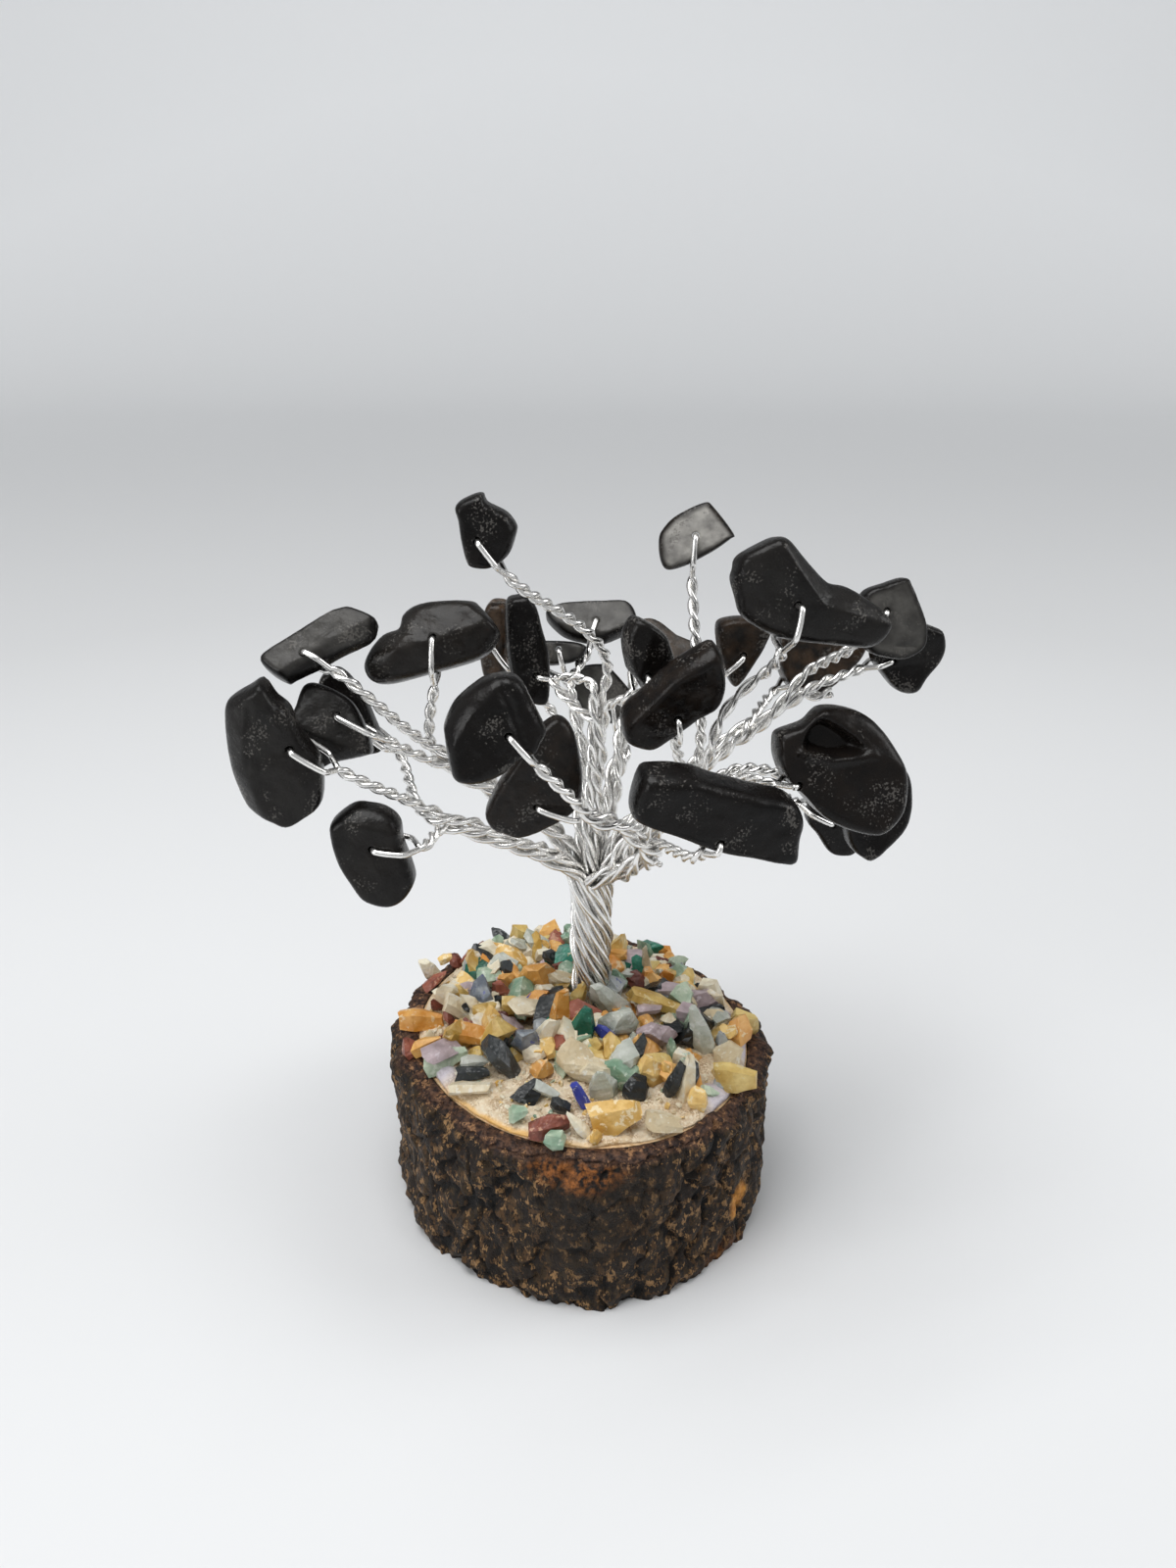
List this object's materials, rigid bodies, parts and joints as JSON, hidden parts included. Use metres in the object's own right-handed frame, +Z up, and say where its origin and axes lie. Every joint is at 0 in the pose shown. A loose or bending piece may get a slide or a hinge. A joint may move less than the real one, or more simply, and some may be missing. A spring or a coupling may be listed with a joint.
{
  "type": "gemstone tree ornament",
  "caption": "Table ornament: a small twisted-wire tree with drilled black stone chips as leaves, standing in mixed stone gravel glued on a bark-edged slice of a branch",
  "frame": {"origin": "the middle of the wood slice's underside, which rests on the table", "axes": "+Z up, -Y towards the front of the tree, +X to the right as seen from the front"},
  "size_m": [0.09, 0.0591, 0.1051],
  "materials": {
    "sawn_wood": "matte",
    "bark": "matte",
    "set_glue": "gloss",
    "silver_wire": "polished",
    "leaf_stone": "satin",
    "clear_quartz": "polished",
    "citrine": "polished",
    "malachite": "polished",
    "milky_quartz": "satin",
    "orange_calcite": "satin",
    "lapis": "satin",
    "aventurine": "polished",
    "red_jasper": "satin",
    "tourmaline": "polished",
    "yellow_jasper": "satin",
    "rose_quartz": "polished",
    "sodalite": "satin"
  },
  "bodies": {
    "tree": {"wood_slice": "sawn_wood", "bark_ring": "bark", "glue_bed": "set_glue", "gravel_clear_quartz": "clear_quartz", "gravel_citrine": "citrine", "gravel_malachite": "malachite", "gravel_milky_quartz": "milky_quartz", "gravel_orange_calcite": "orange_calcite", "gravel_lapis": "lapis", "gravel_aventurine": "aventurine", "gravel_red_jasper": "red_jasper", "gravel_tourmaline": "tourmaline", "gravel_yellow_jasper": "yellow_jasper", "gravel_rose_quartz": "rose_quartz", "gravel_sodalite": "sodalite", "bough_right_high": "silver_wire", "bough_right": "silver_wire", "bough_back_right": "silver_wire", "bough_back": "silver_wire", "bough_left_high": "silver_wire", "bough_left_low": "silver_wire", "bough_front": "silver_wire", "bough_right_low": "silver_wire", "bough_centre": "silver_wire"},
    "leaf_01": {"leaf_stone_01": "leaf_stone"},
    "leaf_02": {"leaf_stone_02": "leaf_stone"},
    "leaf_03": {"leaf_stone_03": "leaf_stone"},
    "leaf_04": {"leaf_stone_04": "leaf_stone"},
    "leaf_05": {"leaf_stone_05": "leaf_stone"},
    "leaf_06": {"leaf_stone_06": "leaf_stone"},
    "leaf_07": {"leaf_stone_07": "leaf_stone"},
    "leaf_08": {"leaf_stone_08": "leaf_stone"},
    "leaf_09": {"leaf_stone_09": "leaf_stone"},
    "leaf_10": {"leaf_stone_10": "leaf_stone"},
    "leaf_11": {"leaf_stone_11": "leaf_stone"},
    "leaf_12": {"leaf_stone_12": "leaf_stone"},
    "leaf_13": {"leaf_stone_13": "leaf_stone"},
    "leaf_14": {"leaf_stone_14": "leaf_stone"},
    "leaf_15": {"leaf_stone_15": "leaf_stone"},
    "leaf_16": {"leaf_stone_16": "leaf_stone"},
    "leaf_17": {"leaf_stone_17": "leaf_stone"},
    "leaf_18": {"leaf_stone_18": "leaf_stone"},
    "leaf_19": {"leaf_stone_19": "leaf_stone"},
    "leaf_20": {"leaf_stone_20": "leaf_stone"},
    "leaf_21": {"leaf_stone_21": "leaf_stone"},
    "leaf_22": {"leaf_stone_22": "leaf_stone"},
    "leaf_23": {"leaf_stone_23": "leaf_stone"},
    "leaf_24": {"leaf_stone_24": "leaf_stone"},
    "leaf_25": {"leaf_stone_25": "leaf_stone"},
    "leaf_26": {"leaf_stone_26": "leaf_stone"},
    "leaf_27": {"leaf_stone_27": "leaf_stone"}
  },
  "joints": [
    {"name": "leaf_turn_01", "type": "hinge", "parent": "tree", "child": "leaf_01", "pos_m": [-0.0118, -0.00678, 0.1001], "axis": [0, -0.9962, 0.0872], "range_deg": [-10, 10]},
    {"name": "leaf_turn_02", "type": "hinge", "parent": "tree", "child": "leaf_02", "pos_m": [-0.03313, -0.00718, 0.08549], "axis": [-0.1228, -0.6964, 0.7071], "range_deg": [-10, 10]},
    {"name": "leaf_turn_03", "type": "hinge", "parent": "tree", "child": "leaf_03", "pos_m": [-0.0181, -0.0015, 0.0858], "axis": [0, -0.9063, 0.4226], "range_deg": [-10, 10]},
    {"name": "leaf_turn_04", "type": "hinge", "parent": "tree", "child": "leaf_04", "pos_m": [-0.02978, -0.00799, 0.07825], "axis": [0, -0.9397, 0.342], "range_deg": [-10, 10]},
    {"name": "leaf_turn_05", "type": "hinge", "parent": "tree", "child": "leaf_05", "pos_m": [-0.03405, -0.01529, 0.07784], "axis": [0.0872, -0.9962, 0], "range_deg": [-10, 10]},
    {"name": "leaf_turn_06", "type": "hinge", "parent": "tree", "child": "leaf_06", "pos_m": [-0.02505, -0.01579, 0.0647], "axis": [0, -0.9962, 0.0872], "range_deg": [-10, 10]},
    {"name": "leaf_turn_07", "type": "hinge", "parent": "tree", "child": "leaf_07", "pos_m": [-0.02942, 0.00123, 0.07378], "axis": [0, -0.9962, 0.0872], "range_deg": [-10, 10]},
    {"name": "leaf_turn_08", "type": "hinge", "parent": "tree", "child": "leaf_08", "pos_m": [-0.00792, -0.02618, 0.08388], "axis": [0.171, -0.9698, 0.1736], "range_deg": [-10, 10]},
    {"name": "leaf_turn_09", "type": "hinge", "parent": "tree", "child": "leaf_09", "pos_m": [-0.00493, -0.0187, 0.07201], "axis": [0, -1, 0], "range_deg": [-10, 10]},
    {"name": "leaf_turn_10", "type": "hinge", "parent": "tree", "child": "leaf_10", "pos_m": [-0.01145, 0.01246, 0.081], "axis": [-0.1736, -0.9848, 0], "range_deg": [-10, 10]},
    {"name": "leaf_turn_11", "type": "hinge", "parent": "tree", "child": "leaf_11", "pos_m": [-0.00615, 0.00641, 0.07849], "axis": [0.173, -0.9811, 0.0872], "range_deg": [-10, 10]},
    {"name": "leaf_turn_12", "type": "hinge", "parent": "tree", "child": "leaf_12", "pos_m": [0.00222, 0.02425, 0.07919], "axis": [0, -0.6428, 0.766], "range_deg": [-10, 10]},
    {"name": "leaf_turn_13", "type": "hinge", "parent": "tree", "child": "leaf_13", "pos_m": [-0.0032, 0.01938, 0.07721], "axis": [0, -0.9397, 0.342], "range_deg": [-10, 10]},
    {"name": "leaf_turn_14", "type": "hinge", "parent": "tree", "child": "leaf_14", "pos_m": [0.00987, 0.02368, 0.0782], "axis": [0.1116, -0.633, 0.766], "range_deg": [-10, 10]},
    {"name": "leaf_turn_15", "type": "hinge", "parent": "tree", "child": "leaf_15", "pos_m": [0.00777, -0.00169, 0.08176], "axis": [0.342, -0.9397, 0], "range_deg": [-10, 10]},
    {"name": "leaf_turn_16", "type": "hinge", "parent": "tree", "child": "leaf_16", "pos_m": [0.00448, 0.02169, 0.06811], "axis": [0, -0.9063, 0.4226], "range_deg": [-10, 10]},
    {"name": "leaf_turn_17", "type": "hinge", "parent": "tree", "child": "leaf_17", "pos_m": [0.01147, -0.00854, 0.07944], "axis": [0.1699, -0.9633, -0.2079], "range_deg": [-10, 10]},
    {"name": "leaf_turn_18", "type": "hinge", "parent": "tree", "child": "leaf_18", "pos_m": [0.0147, 0.0065, 0.097], "axis": [-0.0842, -0.9623, 0.2588], "range_deg": [-10, 10]},
    {"name": "leaf_turn_19", "type": "hinge", "parent": "tree", "child": "leaf_19", "pos_m": [0.02485, -0.00946, 0.09284], "axis": [0.25, -0.933, 0.2588], "range_deg": [-10, 10]},
    {"name": "leaf_turn_20", "type": "hinge", "parent": "tree", "child": "leaf_20", "pos_m": [0.03782, -0.00022, 0.08932], "axis": [0.1699, -0.9633, 0.2079], "range_deg": [-10, 10]},
    {"name": "leaf_turn_21", "type": "hinge", "parent": "tree", "child": "leaf_21", "pos_m": [0.04049, 0.00514, 0.081], "axis": [0.0858, -0.9811, 0.1736], "range_deg": [-10, 10]},
    {"name": "leaf_turn_22", "type": "hinge", "parent": "tree", "child": "leaf_22", "pos_m": [0.02138, 0.00725, 0.081], "axis": [0.0868, -0.9924, 0.0872], "range_deg": [-10, 10]},
    {"name": "leaf_turn_23", "type": "hinge", "parent": "tree", "child": "leaf_23", "pos_m": [0.02913, 0.01163, 0.07567], "axis": [0.171, -0.9698, 0.1736], "range_deg": [-10, 10]},
    {"name": "leaf_turn_24", "type": "hinge", "parent": "tree", "child": "leaf_24", "pos_m": [0.0158, -0.02151, 0.06913], "axis": [0.1734, -0.9835, -0.0523], "range_deg": [-10, 10]},
    {"name": "leaf_turn_25", "type": "hinge", "parent": "tree", "child": "leaf_25", "pos_m": [0.02575, -0.01406, 0.07213], "axis": [0.0842, -0.9623, 0.2588], "range_deg": [-10, 10]},
    {"name": "leaf_turn_26", "type": "hinge", "parent": "tree", "child": "leaf_26", "pos_m": [0.03678, -0.00357, 0.06457], "axis": [0.0858, -0.9811, 0.1736], "range_deg": [-10, 10]},
    {"name": "leaf_turn_27", "type": "hinge", "parent": "tree", "child": "leaf_27", "pos_m": [0.03458, 0.00445, 0.0578], "axis": [0.0872, -0.9962, 0], "range_deg": [-10, 10]}
  ]
}
